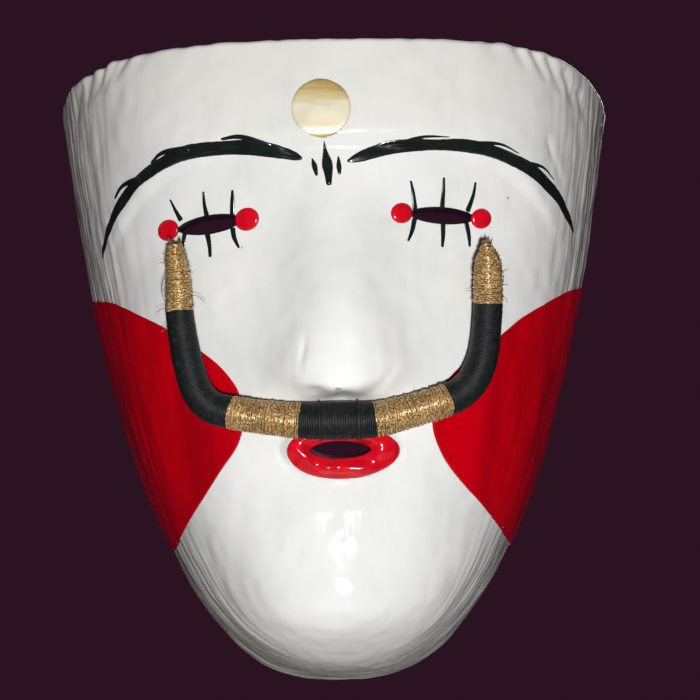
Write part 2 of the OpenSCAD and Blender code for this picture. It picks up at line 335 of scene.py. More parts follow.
def mixed(tree, factor, a, b, blend_type="MIX"):
    """Two colours, each a hex code or a socket, mixed by a factor."""
    node = add_node(tree, "MixRGB", {"Fac": factor}, blend_type=blend_type)
    for name, value in (("Color1", a), ("Color2", b)):
        if isinstance(value, str):
            node.inputs[name].default_value = colour(value)
        else:
            tree.links.new(value, node.inputs[name])
    return node.outputs[0]


def white_enamel():
    """White gloss enamel: creamier near the top, greyed over the side walls and more so towards
    the chin as painted shade, with dark streaks in the tool cuts of the side walls that are partly
    dirt and partly painted shade, and a few pin-holes."""
    material, tree, coords = start_material("brushed_white_enamel")
    clouds = noise_of(tree, coords, 38, 4.0, 0.6)
    white = ramp(tree, clouds, [(0.32, "#DCDEDA"), (0.62, "#E7E8E5")])
    place = add_node(tree, "SeparateXYZ", {"Vector": coords}).outputs
    yellowed = mixed(tree, spread(tree, place["Z"], 0.01, 0.05, 0, 0.4), white, "#DFDED0")
    smears = noise_of(tree, stretched(tree, coords, 1, 1, 0.3), 7, 5.0, 0.65)
    smeared = mixed(tree, spread(tree, smears, 0.52, 0.72, 0, 0.13), yellowed, "#B7B8B0")
    side = spread(tree, place["Y"], -0.04, -0.012, 0, 1)
    # Dark streaks on the side walls: partly dirt in the tool cuts and partly painted shade.
    streaks = noise_of(tree, stretched(tree, coords, 0.07, 1, 0.07), 1.6, 3.0, 0.6)
    dark = spread(tree, streaks, 0.4, 0.56, 0.85, 0.0)
    grime_and_shade = add_node(tree, "Math", {0: dark, 1: side}, operation="MULTIPLY").outputs[0]
    # Painted shade: the side walls are mixed three tenths of the way to grey, and up to seven
    # tenths towards the chin.
    low = spread(tree, place["Z"], -0.085, -0.13, 0.3, 0.72)
    dull = add_node(tree, "Math", {0: low, 1: side}, operation="MULTIPLY").outputs[0]
    with_painted_shade = mixed(tree, dull, smeared, "#6E6F67")
    streaked = mixed(tree, grime_and_shade, with_painted_shade, "#55554D")
    holes = add_node(
        tree, "TexVoronoi", {"Vector": coords, "Scale": per_mm(19), "Randomness": 1.0}
    ).outputs["Distance"]
    speckled = mixed(tree, spread(tree, holes, 0.012, 0.03, 0.75, 0), streaked, "#6B655C")
    ridges = add_node(tree, "Math", {0: streaks, 1: side}, operation="MULTIPLY").outputs[0]
    cuts = add_node(
        tree,
        "Bump",
        {
            "Height": ridges,
            "Strength": 1.0,
            "Distance": 0.0009,
            "Normal": brushed_gloss(tree, coords),
        },
    )
    surface = add_node(
        tree,
        "BsdfPrincipled",
        {
            "Base Color": speckled,
            "Roughness": spread(tree, clouds, 0.3, 0.7, 0.06, 0.12),
            "IOR": 1.5,
            "Normal": cuts.outputs[0],
        },
    )
    finish_material(tree, surface)
    return material


def gouged_wood():
    """Bare soft wood, cut across with a gouge and darkened by sweat and handling: pale tan
    with long darker pores up the grain."""
    material, tree, coords = start_material("bare_gouged_wood")
    grain = noise_of(tree, stretched(tree, coords, 1, 1, 0.08), 3.2, 5.0, 0.6)
    pores = noise_of(tree, stretched(tree, coords, 1, 1, 0.04), 0.9, 2.0)
    stain = noise_of(tree, coords, 55, 3.0)
    wood = ramp(tree, grain, [(0.28, "#8A6440"), (0.5, "#B18C60"), (0.75, "#CBA97C")])
    worn_in = mixed(tree, spread(tree, stain, 0.4, 0.7, 0.05, 0.6), wood, "#7A5636")
    porous = mixed(tree, spread(tree, pores, 0.3, 0.42, 0.5, 0), worn_in, "#5A3D26")
    relief = add_node(
        tree, "Bump", {"Height": grain, "Strength": 0.8, "Distance": 0.00025}
    )
    surface = add_node(
        tree,
        "BsdfPrincipled",
        {
            "Base Color": porous,
            "Roughness": spread(tree, grain, 0.3, 0.7, 0.78, 0.6),
            "IOR": 1.45,
            "Normal": relief.outputs[0],
        },
    )
    finish_material(tree, surface)
    return material


def make_piece(name, bm, slot, *materials):
    """A finished piece made of the bmesh, on the mask's one body."""
    mesh = bpy.data.meshes.new(name)
    bm.to_mesh(mesh)
    bm.free()
    mesh.shade_smooth()
    piece = bpy.data.objects.new(name, mesh)
    bpy.context.scene.collection.objects.link(piece)
    for material in materials:
        mesh.materials.append(material)
    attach(piece, "root")
    return piece


CHIN_SPAN = 26
TOP_EDGE = 1.6


def shell_height(v):
    """Heights up the shell, closer together at the chin, where the surface turns under, and
    at the rounded top edge."""
    if v < 0.15:
        return CHIN_Z + CHIN_SPAN * (v / 0.15) ** 2
    if v < 0.97:
        return CHIN_Z + CHIN_SPAN + (MASK_H - CHIN_SPAN - TOP_EDGE) * (v - 0.15) / 0.82
    return TOP_Z - TOP_EDGE * (1 - v) / 0.03


def outside(u, v):
    z = shell_height(v)
    p = on_shell(z, math.pi * (1 - u))
    up = max(0, 1 - (TOP_Z - z) / TOP_EDGE)
    wavy = 0.35 * noise.noise(Vector((p.x / 9, 0, 40)))
    wavy += 0.25 * noise.noise(Vector((p.x / 3.5, 0, 8)))
    p.z += up * (wavy - 0.1)
    p.y += TOP_EDGE * (1 - (1 - up**2) ** 0.5) * ease(0, -8, p.y)
    return p


def hollow_point(z, turn):
    top = TOP_Z - ROOF_WALL
    height = MASK_H - ROOF_WALL - CHIN_WALL
    low = top - (TOP_Z - z) * height / MASK_H
    deep = FACE_DEPTH + SAW_OFF - FACE_WALL
    return section(low, turn, top, height, RIM_HALF_W - SIDE_WALL, deep, False)


def inside(u, v):
    """The hollow, with the scallops of a 12 mm gouge worked from the chin up."""
    p = hollow_point(shell_height(v), math.pi * u)
    scoop = abs(math.sin(p.x * math.pi / 11 + 0.7 * noise.noise(p / 20)))
    scoop *= 0.7 + 0.5 * noise.noise(Vector((p.x / 12, 0, p.z / 30)))
    return p + Vector((0, 1.1 * scoop * ease(2, 12, -p.y), 0))


def roof(u, v):
    """The flat top, sawn across and only roughly cleaned up."""
    turn = math.pi * (1 - u)
    front = outside(u, 1)
    back = worn(RIM_HALF_W * math.cos(turn), 0, TOP_Z)
    p = front.lerp(back, v)
    return p + Vector((0, 0, 0.35 * noise.noise(p / 9) * ease(0, 0.1, v) * ease(0, 0.1, 1 - v)))


def hollow_roof(u, v):
    turn = math.pi * u
    half_w = RIM_HALF_W - SIDE_WALL
    back = worn(half_w * math.cos(turn), 0, TOP_Z - ROOF_WALL)
    return inside(u, 1).lerp(back, v)


def saw_flat(bm):
    """Saws the back off flat in the rim plane."""
    geom = bm.verts[:] + bm.edges[:] + bm.faces[:]
    bmesh.ops.bisect_plane(
        bm, geom=geom, dist=1e-6, plane_co=(0, 0, 0), plane_no=(0, 1, 0), clear_outer=True
    )


shell = join(patch(320, 210, outside), patch(320, 16, roof))
bmesh.ops.remove_doubles(shell, verts=shell.verts, dist=2e-5)
hollow = join(patch(120, 110, inside), patch(120, 3, hollow_roof))
bmesh.ops.remove_doubles(hollow, verts=hollow.verts, dist=2e-5)
for bm in (shell, hollow):
    saw_flat(bm)
for face in hollow.faces:
    face.material_index = 1
shell = join(shell, hollow)
rims = [e for e in shell.edges if e.is_boundary]
bridged = bmesh.ops.bridge_loops(shell, edges=rims)
for face in bridged["faces"]:
    face.material_index = 1
bmesh.ops.recalc_face_normals(shell, faces=shell.faces)


def slot_edge(centre, size, tilt, turn, grow=0):
    """The outline of an opening, grown by so many mm, as x and z."""
    a, b = size[0] / 2 + grow, size[1] / 2 + grow
    s = math.sin(turn)
    x = a * math.cos(turn)
    z = b * math.copysign(abs(s) ** SLOT_TAPER, s)
    t = math.radians(tilt)
    return (
        centre[0] + x * math.cos(t) - z * math.sin(t),
        centre[1] + x * math.sin(t) + z * math.cos(t),
    )


def slot_cutter(centre, size, tilt):
    """A plug the shape of an opening, to cut it right through the face."""
    bm = bmesh.new()
    ring = bmesh.ops.create_circle(bm, cap_ends=True, segments=72, radius=1)["verts"]
    for i, v in enumerate(ring):
        x, z = slot_edge(centre, size, tilt, 2 * math.pi * i / len(ring))
        v.co = 0.001 * Vector((x, -82, z))
    cap = bmesh.ops.extrude_face_region(bm, geom=bm.faces[:])["geom"]
    moved = [g for g in cap if isinstance(g, bmesh.types.BMVert)]
    bmesh.ops.translate(bm, verts=moved, vec=(0, 0.05, 0))
    bmesh.ops.recalc_face_normals(bm, faces=bm.faces)
    return bm


def cut_with(piece, bm):
    """Cuts the bmesh out of the piece and keeps the result as its mesh."""
    mesh = bpy.data.meshes.new("cutter")
    bm.to_mesh(mesh)
    bm.free()
    cutter = bpy.data.objects.new("cutter", mesh)
    bpy.context.scene.collection.objects.link(cutter)
    cut = piece.modifiers.new("cut", "BOOLEAN")
    cut.object = cutter
    cut.solver = "EXACT"
    shaped = piece.evaluated_get(bpy.context.evaluated_depsgraph_get())
    piece.data = bpy.data.meshes.new_from_object(shaped)
    piece.modifiers.clear()
    bpy.data.objects.remove(cutter)


LASHINGS_X = (-5.5, 5.5)
LASHING_Z = -59.3
openings = join(
    slot_cutter(LEFT_EYE, LEFT_SLIT, LEFT_TILT),
    slot_cutter(RIGHT_EYE, RIGHT_SLIT, RIGHT_TILT),
    slot_cutter(MOUTH, MOUTH_SLOT, 0),
    *[slot_cutter((x, LASHING_Z), (1.9, 1.9), 0) for x in LASHINGS_X],
)
white = white_enamel()
bare_wood = gouged_wood()
carved_shell = make_piece("carved_shell", shell, "white_enamel", white, bare_wood)
cut_with(carved_shell, openings)
carved_shell.data.set_sharp_from_angle(angle=math.radians(50))
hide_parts("mask_shell")


# ---- Cheeks ----
# A field of thick blood-red gloss enamel on each cheek, brushed from the back rim to a
# round point beside the mouth. Its front edge stands up in a fine bead.

def turn_at(x, z):
    """How far round the section at this height the surface passes over x."""
    w = half_width(min(1, max(0, (TOP_Z - z) / MASK_H)), RIM_HALF_W)
    low, high = 0, math.pi
    for _ in range(22):
        turn = (low + high) / 2
        if sideways(turn, w) > x:
            low = turn
        else:
            high = turn
    return (low + high) / 2


def on_face(x, z, lift=0):
    """The point of the finished outside at this x and z, raised off it by lift."""
    return on_shell(z, turn_at(x, z), lift)


def along(points, t):
    """A smooth curve through the points, with t from 0 to 1."""
    place = t * (len(points) - 1)
    i = min(len(points) - 2, int(place))
    f = place - i
    b, c = Vector(points[i]), Vector(points[i + 1])
    a = Vector(points[i - 1]) if i else 2 * b - c
    d = Vector(points[i + 2]) if i + 2 < len(points) else 2 * c - b
    return 0.5 * (
        2 * b + (c - a) * f + (2 * a - 5 * b + 4 * c - d) * f * f + (3 * b - a - 3 * c + d) * f**3
    )


# How far the edge of a film of paint sinks into the coat below
SINK = 0.04


def paint_film(name, bm, slot, material, depth=0.4):
    """A film of paint as a closed piece: its sheet, turned to face out if it faces back,
    and thickened down into the coat below."""
    bm.normal_update()
    facing_back = sum(f.normal.y * f.calc_area() for f in bm.faces)
    if facing_back > 0.1 * sum(f.calc_area() for f in bm.faces):
        bmesh.ops.reverse_faces(bm, faces=bm.faces)
    piece = make_piece(name, bm, slot, material)
    thick = piece.modifiers.new("thick", "SOLIDIFY")
    thick.thickness = depth * 0.001
    thick.offset = -1
    return piece


def coloured_enamel(name, plain, deep, brush_size):
    """Gloss enamel in one strong colour, a little deeper where the brush left it thick."""
    material, tree, coords = start_material(name)
    strokes = noise_of(tree, stretched(tree, coords, 1, 0.6, 0.2), brush_size, 3.0)
    surface = add_node(
        tree,
        "BsdfPrincipled",
        {
            "Base Color": ramp(tree, strokes, [(0.3, deep), (0.6, plain)]),
            "Roughness": spread(tree, strokes, 0.3, 0.7, 0.2, 0.12),
            "IOR": 1.5,
            "Normal": brushed_gloss(tree, coords),
        },
    )
    finish_material(tree, surface)
    return material


cheek_red = coloured_enamel("blood_red_enamel", "#C40011", "#A3000F", 12)
CHEEK_EDGES = {
    "left": [
        (-83.5, -21.5), (-78, -22), (-72.5, -22.8), (-66.9, -24.8), (-60.1, -27.9), (-52.5, -31.6),
        (-46.5, -35.2), (-40.5, -39.1), (-35.5, -43), (-31.4, -47.5), (-29, -52), (-28.2, -57),
        (-28.6, -62.5), (-30.5, -67.7), (-35, -73.9), (-40.4, -81.9), (-46.4, -90.5),
        (-50, -96.2), (-54.2, -103.5), (-58, -107.5),
    ],
    "right": [
        (83.5, -19.8), (79.5, -20.2), (75.4, -21.3), (69.2, -23.9), (62.3, -27.2), (55.8, -30.7),
        (49.7, -35.2), (44.2, -39.2), (38.6, -43), (34.6, -46), (31, -50), (28.4, -55),
        (27.3, -61), (28.4, -66.5), (31.6, -73.2), (36.6, -79.8), (42.6, -86.6), (48.7, -94.5),
        (53.5, -101.2), (58.5, -107.5),
    ],
}
for side, edge in CHEEK_EDGES.items():

    def cheek(u, v, edge=edge):
        """v runs from the rim, where it is 0, to the painted edge."""
        x, z = along(edge, u)
        bead = 0.12 * bump(v, 0.985, 0.012)
        rim_turn = 0.0 if x > 0 else math.pi
        turn = rim_turn + (turn_at(x, z) - rim_turn) * v
        over_cuts = 0.18 + 0.3 * ease(0.9, 0.5, v) * ease(-70, -95, z) + 0.12 * ease(0.7, 0.3, v)
        return on_shell(z, turn, over_cuts * ease(1.0, 0.985, v) + bead - 0.03)

    film = patch(110, 90, cheek)
    saw_flat(film)
    paint_film("cheek_" + side, film, "red_enamel", cheek_red)


# ---- Lips ----
# Full carved lips under a coat of bright red enamel that runs to the edge of the mouth
# slot; the walls of the slot itself are blackened.

bright_red = coloured_enamel("bright_red_enamel", "#D20D20", "#B0071A", 5)
black_gloss = coloured_enamel("black_enamel", "#18201E", "#101615", 3)


def ring_film(centre, size, tilt, wall_from, wall_to, outline):
    """A sheet round an opening: its walls from one depth to another, in mm, and then, if
    there is an outline, the face out to it. outline(turn) gives x and z."""

    def place(u, v):
        turn = 2 * math.pi * u
        x, z = slot_edge(centre, size, tilt, turn, -0.14)
        if outline is None:
            return on_face(x, z) + Vector((0, wall_from + (wall_to - wall_from) * v, 0))
        if v < 0.4:
            return on_face(x, z) + Vector((0, wall_from + (wall_to - wall_from) * v / 0.4, 0))
        share = (v - 0.4) / 0.6
        edge_x, edge_z = outline(turn)
        x, z = x + (edge_x - x) * share, z + (edge_z - z) * share
        lift = (0.24 + 0.16 * bump(share, 0.88, 0.08)) * ease(1, 0.93, share)
        return on_face(x, z, lift - SINK)

    sheet = patch(96, 25, place)
    bmesh.ops.reverse_faces(sheet, faces=sheet.faces)
    return sheet


def lip_outline(turn):
    ripple = 0.25 * math.sin(3 * turn + 1)
    return 0.9 + (16.6 + ripple) * math.cos(turn), -68.9 + (8 + ripple) * math.sin(turn)


lip_film = ring_film(MOUTH, MOUTH_SLOT, 0, 1.6, -0.1, lip_outline)
paint_film("lip_paint", lip_film, "red_enamel", bright_red, 0.3)
mouth_film = ring_film(MOUTH, MOUTH_SLOT, 0, 9, 1.5, None)
paint_film("mouth_black", mouth_film, "black_enamel", black_gloss, 0.1)


# ---- Eyes ----
# Each slit has its walls and edge painted black, a round red spot at both ends and six
# lashes flicked on with the tip of a small brush.


def spot(centre, radius, height, ripple=0.0):
    """A round blob of paint, domed by its own surface."""

    def place(u, v):
        turn = 2 * math.pi * u
        r = radius * v * (1 + ripple * math.sin(2 * turn + 1))
        rise = height * max(0, 1 - v**4) ** 0.5 - SINK
        return on_face(centre[0] + r * math.cos(turn), centre[1] + r * math.sin(turn), rise)

    return patch(32, 7, place)


def stroke(points, widths, height=0.2, columns=24):
    """A brush stroke down the middle of the points, as wide as given at each of them."""

    def place(u, v):
        middle = along(points, u)
        way = along(points, min(1, u + 0.01)) - along(points, max(0, u - 0.01))
        across = Vector((-way.y, way.x)).normalized()
        width = along([(w, 0) for w in widths], u).x
        width *= min(1, 0.3 + u / 0.04, 0.3 + (1 - u) / 0.04)
        x, z = middle + across * width * (v - 0.5)
        rise = height * (1 - (2 * v - 1) ** 4) * ease(0, 0.04, u) * ease(0, 0.04, 1 - u)
        return on_face(x, z, rise - SINK)

    return patch(columns, 6, place)


EYES = {
    "left": {
        "slit": (LEFT_EYE, LEFT_SLIT, LEFT_TILT),
        "spots": [(-50.7, -2.1, 3.4), (-26.2, -0.2, 3.6)],
        "lashes": [
            ([(-49.7, 7.1), (-48.2, 3.8), (-46.3, 0.4)], [0.25, 0.8, 1.5]),
            ([(-39.3, 8.7), (-39.1, 4.8), (-38.3, 1.2)], [0.5, 0.9, 1.5]),
            ([(-30.3, 8.6), (-30.4, 5), (-30.6, 1.2)], [0.5, 1.2, 1.3]),
            ([(-45.3, -3.0), (-45.8, -5.2), (-46, -7.2)], [1.3, 1.1, 0.8]),
            ([(-38.4, -3.6), (-37.8, -7.4), (-37.6, -11)], [1.6, 1.1, 0.8]),
            ([(-30.6, -2.4), (-30.1, -5.5), (-28.7, -8.7)], [1.5, 1.2, 0.4]),
        ],
    },
    "right": {
        "slit": (RIGHT_EYE, RIGHT_SLIT, RIGHT_TILT),
        "spots": [(19.4, 0.6, 3.2), (43.6, -0.6, 3.2)],
        "lashes": [
            ([(22.2, 10.2), (22.9, 6.2), (23.4, 1.5)], [0.4, 0.9, 1.5]),
            ([(32.1, 11.3), (31.9, 7), (31.4, 2.0)], [0.5, 0.9, 1.4]),
            ([(42.0, 10.2), (41.0, 6), (39.2, 1.2)], [0.4, 0.9, 1.5]),
            ([(23.3, -0.7), (22.4, -4.5), (21, -7.8)], [1.4, 1.1, 0.4]),
            ([(31.7, -1.8), (31.7, -6), (31.4, -9.4)], [1.4, 1.1, 0.6]),
            ([(38.8, -1.5), (39.6, -5.5), (39.9, -9.2)], [1.4, 1.1, 0.5]),
        ],
    },
}
for side, eye in EYES.items():
    centre, slit, tilt = eye["slit"]

    def lid_outline(turn, centre=centre, slit=slit, tilt=tilt):
        return slot_edge(centre, slit, tilt, turn, 0.4)

    lid = ring_film(centre, slit, tilt, 8.5, -0.1, lid_outline)
    paint_film("eye_black_" + side, lid, "black_enamel", black_gloss, 0.12)
    spots = join(*[spot((x, z), r, 0.75, 0.05) for x, z, r in eye["spots"]])
    paint_film("eye_spots_" + side, spots, "red_enamel", bright_red, 0.3)
    strokes = [stroke(points, [w + 0.3 for w in widths]) for points, widths in eye["lashes"]]
    paint_film("lashes_" + side, join(*strokes), "black_enamel", black_gloss, 0.2)


# ---- Eyebrows and forehead marks ----
# Long black brows laid in one sweep of a loaded brush, whose stray hairs split off along
# the upper edge; between them a lozenge and two ticks, and over them a disc of bronze paint.


def brow_stroke(pairs, height=0.24):
    """A stroke between an upper and a lower edge, each pair giving x and z on both."""
    upper = [(a, b) for a, b, _, _ in pairs]
    lower = [(c, d) for _, _, c, d in pairs]

    def place(u, v):
        x, z = along(lower, u).lerp(along(upper, u), v)
        ragged = 0.12 * noise.noise(Vector((x * 0.8, z * 0.8, 3)))
        streaks = 1 + 0.5 * noise.noise(Vector((x / 9, 6 * v, 5)))
        rise = height * streaks * (1 - (2 * v - 1) ** 6) * ease(0, 0.02, u) * ease(0, 0.02, 1 - u)
        return on_face(x, z + ragged, rise - SINK)

    return patch(120, 12, place)


BROWS = {
    "left": [
        (-9.2, 17, -9.5, 16.4), (-12, 19.2, -11.6, 16.2), (-18.4, 21.5, -18.6, 17.2),
        (-25, 22.5, -25.2, 18.2), (-32.1, 22.5, -33.1, 18.6), (-43.2, 22.2, -43.5, 17.9),
        (-50.2, 20, -51, 15.6), (-56.5, 17.2, -56, 13.2), (-62, 13.8, -60.5, 10.6),
        (-66.9, 9.4, -64.6, 6.6), (-71.4, 3.2, -69.3, 1.8), (-74.1, -2.2, -72.4, -3.2),
        (-75.4, -5.6, -74.4, -6.4), (-75.5, -8.6, -75.1, -8.6),
    ],
    "right": [
        (3.4, 16, 3.6, 15.3), (7.9, 18.9, 7.8, 15.4), (15, 21.3, 15, 17.2),
        (22, 21.9, 22, 18.3), (29.8, 21.9, 29.8, 18.8), (38.7, 22.1, 38.8, 18.4),
        (45.5, 21.2, 45.9, 17.3), (53.5, 19, 52.4, 15.2), (60.5, 16.4, 58.8, 12.6),
        (66.6, 12.2, 64.3, 9), (71.4, 8.2, 69.2, 5.6), (74.4, 4, 72.6, 1.6),
        (76, 0, 75, -1.2), (76.6, -3, 76.3, -3),
    ],
}
STRAY_HAIRS = {
    "left": [
        ([(-33, 23), (-27, 23.3), (-18, 20.4)], [0.25, 1, 1.2]),
        ([(-55, 18), (-50.8, 20.5), (-42.5, 20.8)], [0.3, 1, 2]),
        ([(-68.4, 9.2), (-65.3, 12.6), (-58.6, 13.8)], [0.3, 1, 2]),
    ],
    "right": [
        ([(17, 20.2), (26, 22.4), (34, 22.5)], [1.2, 0.9, 0.3]),
        ([(39.5, 20.6), (49, 21.2), (55.8, 18.9)], [2, 1, 0.3]),
        ([(55.5, 16.2), (63.5, 15.8), (68.1, 12.4)], [2, 1, 0.3]),
    ],
}
for side, pairs in BROWS.items():
    hairs = [stroke(points, widths, 0.16) for points, widths in STRAY_HAIRS[side]]
    paint_film("brow_" + side, join(brow_stroke(pairs), *hairs), "black_enamel", black_gloss, 0.3)

marks = join(
    stroke(
        [(-3, 21.6), (-2.7, 18.5), (-2.2, 15), (-1.9, 12), (-1.8, 8.6)],
        [0.3, 1.5, 3.3, 2.5, 1.6],
        0.5,
        40,
    ),
    stroke([(-6.6, 16.8), (-5.9, 14.4), (-5.3, 11.6)], [0.4, 1.7, 0.8], 0.3),
    stroke([(1.1, 17.2), (1.2, 14.4), (1.4, 11.8)], [0.4, 1.6, 0.9], 0.3),
)
paint_film("forehead_marks", marks, "black_enamel", black_gloss, 0.3)


def bronze_paint():
    """Bronze powder in varnish, brushed on level: flakes of brass in bands across the strokes,
    with a painted highlight pale across the middle of the disc and painted shade towards its top,
    which is ochre, and its bottom."""
    material, tree, coords = start_material("bronze_powder_paint")
    bands = noise_of(tree, stretched(tree, coords, 0.12, 1, 1), 2.4, 3.0)
    flakes = noise_of(tree, coords, 0.6, 2.0)
    height = add_node(tree, "SeparateXYZ", {"Vector": coords}).outputs["Z"]
    # Painted highlight and shade by height on the disc: pale across its middle, ochre towards the
    # top and tan at the bottom, shifted a little by the bands.
    painted_highlight_and_bands = add_node(
        tree,
        "Math",
        {0: spread(tree, height, 0.022, 0.04, 0, 0.8), 1: spread(tree, bands, 0.3, 0.7, 0, 0.2)},
        operation="ADD",
    ).outputs[0]
    dark_to_pale = [(0.06, "#BFA975"), (0.22, "#E6DBB8"), (0.5, "#F2EDD2")]
    pale_to_ochre = [(0.68, "#E2D19C"), (0.9, "#C09E52")]
    tone = ramp(tree, painted_highlight_and_bands, dark_to_pale + pale_to_ochre)
    relief = add_node(
        tree, "Bump", {"Height": flakes, "Strength": 0.5, "Distance": 0.00006}
    )
    surface = add_node(
        tree,
        "BsdfPrincipled",
        {
            "Base Color": tone,
            "Metallic": 0.25,
            "Roughness": spread(tree, bands, 0.3, 0.7, 0.42, 0.3),
            "Normal": relief.outputs[0],
        },
    )
    finish_material(tree, surface)
    return material


disc = spot((-3.7, 31), 9.1, 0.18)
paint_film("forehead_disc", disc, "gold_paint", bronze_paint(), 0.3)


# ---- Moustache ----
# A wire inside a bundle of plant fibres, bent up at both ends and bound along its whole
# length in bands: fine black thread, and crinkled gold metal thread laid on in two layers.

# Points along the middle, viewer's left tip to right tip, with the radius of the binding
ROUTE = [
    (-46.5, -64, -8, 2.6), (-46, -64, -13, 3.3), (-45.5, -63.5, -20, 3.8),
    (-45.5, -63, -27, 4.1), (-44.5, -62.5, -36, 4.3), (-43, -62, -44, 4.5),
    (-40.5, -62.5, -51, 4.7), (-36.5, -63.5, -55, 4.8), (-31, -65, -56.5, 4.8),
    (-21, -67, -58, 4.9), (-11, -68.5, -59, 5.2), (-0.5, -68.5, -59.3, 5.4),
    (10, -68.5, -59, 5.2), (20, -67, -57, 4.9), (31, -65, -54, 4.8),
    (36, -63.5, -51.5, 4.8), (39.5, -62.5, -47.5, 4.7), (42, -62, -41.5, 4.5),
    (43, -62.5, -34, 4.3), (43.5, -63, -26.5, 4.3), (43.5, -63.5, -20, 4.3),
    (43.5, -64, -14, 3.7), (43, -64, -8.5, 2.2),
]
ROUTE_END = len(ROUTE) - 1
POINTS_PER_TURN = 18


def route_point(place):
    return along(ROUTE, min(1, max(0, place / ROUTE_END)))


def on_binding(place, turn, inset):
    """A point on the binding, inset mm below its outside; 90 degrees faces the back."""
    here = route_point(place)
    heading = (route_point(place + 0.03) - route_point(place - 0.03)).xyz.normalized()
    side = heading.cross(Vector((0, 1, 0))).normalized()
    back = side.cross(heading)
    blunt = 0.15 * ease(0.6, 0, place) + 0.42 * ease(1, 0, ROUTE_END - place)
    radius = here[3] * (1 - blunt) - inset
    return here.xyz + radius * (math.cos(turn) * side + math.sin(turn) * back)


def wound_thread(start, end, pitch, inset, wander, seed, way=1):
    """The path of a thread wound round the route, straying by so many mm."""
    dice = random.Random(seed)
    place, turn, path = start, dice.uniform(0, 6), []
    while place < end:
        speed = (route_point(place + 0.02) - route_point(place - 0.02)).xyz.length / 0.04
        place += pitch / POINTS_PER_TURN / max(1, speed)
        turn += way * 2 * math.pi / POINTS_PER_TURN
        stray = noise.noise(Vector((turn * 0.35, seed, 0))) + 0.5 * noise.noise(
            Vector((turn * 1.7, seed, 5))
        )
        there = min(end, max(start, place + wander * stray / max(1, speed)))
        lift = 0.5 * wander * noise.noise(Vector((turn * 0.9, seed, 9)))
        path.append((on_binding(there, turn, inset + lift), dice.uniform(0.88, 1.08)))
    return path


def strands(paths, thickness):
    """Round strands along the paths, whose points carry a share of the thickness."""
    data = bpy.data.curves.new("strands", "CURVE")
    data.dimensions = "3D"
    data.bevel_depth = 0.0005 * thickness
    data.bevel_resolution = 1
    data.use_fill_caps = True
    for path in paths:
        spline = data.splines.new("POLY")
        spline.points.add(len(path) - 1)
        for point, (place, share) in zip(spline.points, path):
            point.co = (*(0.001 * place), 1)
            point.radius = share
    holder = bpy.data.objects.new("strands", data)
    bpy.context.scene.collection.objects.link(holder)
    shaped = holder.evaluated_get(bpy.context.evaluated_depsgraph_get())
    mesh = bpy.data.meshes.new_from_object(shaped)
    bm = bmesh.new()
    bm.from_mesh(mesh)
    bpy.data.objects.remove(holder)
    return bm


def black_thread():
    """Black cotton thread, waxed smooth by handling: near black, with a dull silky line
    of light along the turns and a little grey lint."""
    material, tree, coords = start_material("waxed_black_cotton")
    lint = noise_of(tree, coords, 1.6, 4.0, 0.7)
    black = ramp(tree, lint, [(0.4, "#101514"), (0.62, "#1A2120"), (0.75, "#3C4442")])
    surface = add_node(
        tree,
        "BsdfPrincipled",
        {
            "Base Color": black,
            "Roughness": spread(tree, lint, 0.3, 0.7, 0.45, 0.6),
            "IOR": 1.4,
        },
    )
    finish_material(tree, surface)
    return material


def gold_thread():
    """Lurex: a flat gilt strip twisted round cotton, its colour spotted every half millimetre or
    so with painted glints, near white, and painted shade, dark brown; the gilt has browned where
    it is rubbed."""
    material, tree, coords = start_material("gilt_metal_thread")
    glint_and_shade_spots = noise_of(tree, coords, 0.55, 2.0, 0.6)
    rubbed = noise_of(tree, coords, 6, 2.0)
    # Painted glints and painted shade: the colour runs from dark brown to near white in spots
    # about half a millimetre apart.
    gilt = ramp(
        tree, glint_and_shade_spots, [(0.34, "#5A3E1C"), (0.47, "#A88450"), (0.58, "#D2AE74"), (0.68, "#FFEFC4")]
    )
    browned = mixed(tree, spread(tree, rubbed, 0.45, 0.75, 0, 0.45), gilt, "#7A5A30")
    surface = add_node(
        tree,
        "BsdfPrincipled",
        {
            "Base Color": browned,
            "Metallic": 0.35,
            "Roughness": spread(tree, glint_and_shade_spots, 0.3, 0.7, 0.5, 0.26),
        },
    )
    finish_material(tree, surface)
    return material


thread_black = black_thread()
thread_gold = gold_thread()
BLACK_BANDS = {"black_left": (3, 8), "black_centre": (10, 12), "black_right": (14, 19)}
GOLD_BANDS = {
    "gold_tip_left": (0, 3, 0.9),
    "gold_left": (8, 10, 0.45),
    "gold_right": (12, 14, 0.6),
    "gold_tip_right": (19, 22, 0.8),
}
for seed, (name, (start, end)) in enumerate(BLACK_BANDS.items()):
    lower = wound_thread(start, end, 0.5, 0.5, 0.08, seed + 1)
    upper = wound_thread(start, end, 0.46, 0.26, 0.1, seed + 11)
    binding = make_piece(
        "winding_" + name + "_thread", strands([lower, upper], 0.52), "black_thread", thread_black
    )
    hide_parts("winding_" + name)
for seed, (name, (start, end, wander)) in enumerate(GOLD_BANDS.items()):
    lower = wound_thread(start, end, 0.42, 0.5, 0.25, seed + 21)
    upper = wound_thread(start, end, 0.55, 0.26, wander, seed + 31)
    crossing = wound_thread(start, end, 0.9, 0.1, 1.3 * wander, seed + 41, -1)
    binding = make_piece(
        "winding_" + name + "_thread",
        strands([lower, upper, crossing], 0.44),
        "gold_thread",
        thread_gold,
    )
    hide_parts("winding_" + name)


def plant_fibre():
    """Ixtle, the coarse fibre of the agave, dyed brown: stiff and dull, in patches of darker and
    lighter brown.
    """
    material, tree, coords = start_material("brown_agave_fibre")
    patches = noise_of(tree, coords, 2.5, 3.0)
    brown = ramp(tree, patches, [(0.35, "#2A2019"), (0.55, "#4E3D2B"), (0.7, "#80694A")])
    surface = add_node(
        tree,
        "BsdfPrincipled",
        {
            "Base Color": brown,
            "Roughness": 0.65,
        },
    )
    finish_material(tree, surface)
    return material


